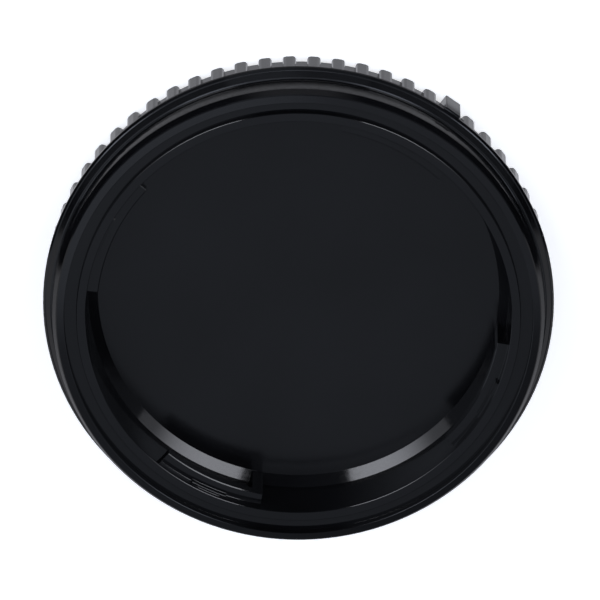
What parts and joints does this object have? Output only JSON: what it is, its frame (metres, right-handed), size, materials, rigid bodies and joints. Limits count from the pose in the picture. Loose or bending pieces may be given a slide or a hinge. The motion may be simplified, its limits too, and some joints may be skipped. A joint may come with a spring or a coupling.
{
  "type": "rear lens cap",
  "caption": "Round black moulded cap with a flanged rim, ribbed grip, index block and inner bayonet lugs that covers the rear of a camera lens.",
  "frame": {"origin": "middle of the closed back face, on the cap's axis", "axes": "+Z along the axis, out of the open mouth; the index block lies 53.2 degrees anticlockwise from +X"},
  "size_m": [0.066, 0.066, 0.0108],
  "materials": {
    "black_plastic": "satin black moulded plastic"
  },
  "bodies": {
    "root": {"rear_cap": "black_plastic"}
  },
  "joints": []
}
